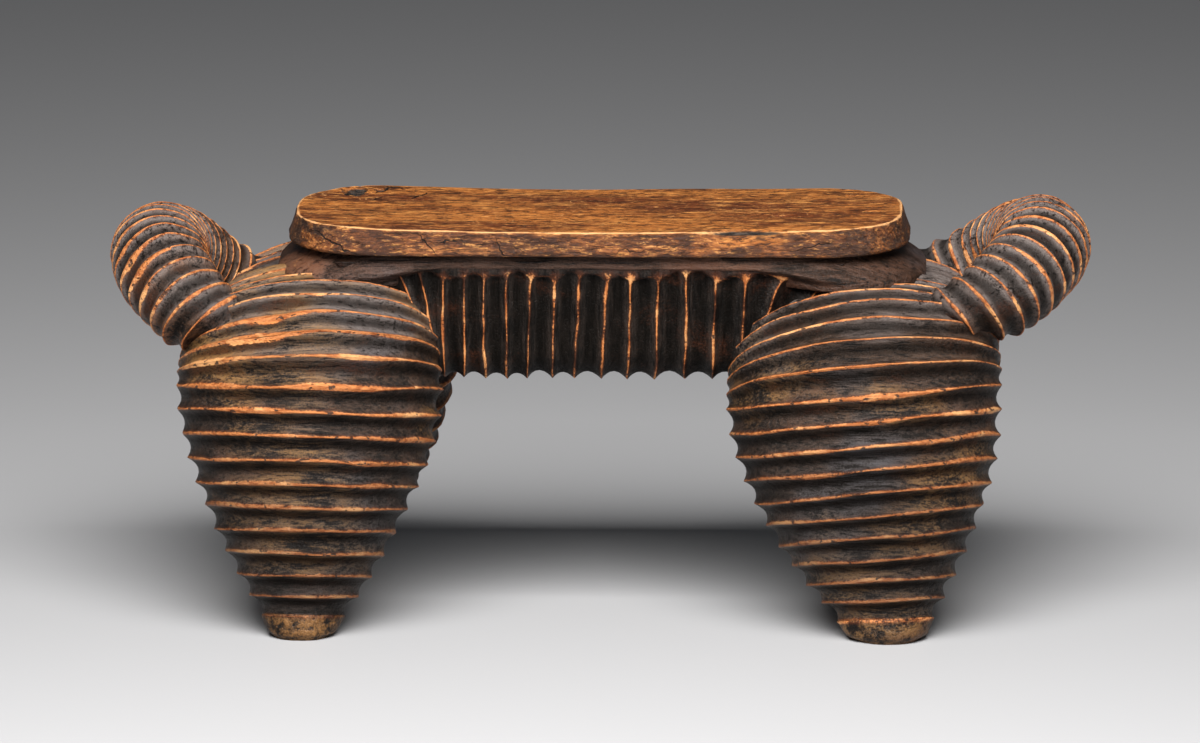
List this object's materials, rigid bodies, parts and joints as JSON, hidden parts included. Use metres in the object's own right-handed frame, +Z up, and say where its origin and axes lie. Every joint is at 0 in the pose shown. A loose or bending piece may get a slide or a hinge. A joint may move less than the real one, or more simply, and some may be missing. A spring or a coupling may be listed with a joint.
{
  "type": "headrest",
  "caption": "Carved wooden headrest: dished slab on a ribbed crossbeam and bulbous ring-carved legs, with a ribbed loop handle at each end.",
  "frame": {"origin": "on the ground plane under the middle of the headrest", "axes": "+X along the slab from the left handle to the right handle, +Y from front to rear, +Z up"},
  "size_m": [0.38, 0.1636, 0.1614],
  "materials": {
    "slab_wood": "golden brown, polished by use, scratched along the grain",
    "dark_wood": "smoke-darkened, smooth, low sheen",
    "beam_wood": "blackened hollows between ribs with crests worn to orange brown",
    "leg_wood": "blackened hollows between rings with crests worn to orange brown",
    "foot_wood": "raw, rough and scuffed, yellow brown",
    "handle_wood": "dark brown hollows with bright worn crests, polished by handling"
  },
  "bodies": {
    "root": {"headrest_slab": "slab_wood", "neck_band": "dark_wood", "crossbeam": "beam_wood", "shoulder_left": "dark_wood", "shoulder_right": "dark_wood", "leg_front_left": "leg_wood", "leg_front_right": "leg_wood", "leg_rear_left": "leg_wood", "leg_rear_right": "leg_wood", "foot_front_left": "foot_wood", "foot_front_right": "foot_wood", "foot_rear_left": "foot_wood", "foot_rear_right": "foot_wood", "handle_left": "handle_wood", "handle_right": "handle_wood"}
  },
  "joints": []
}
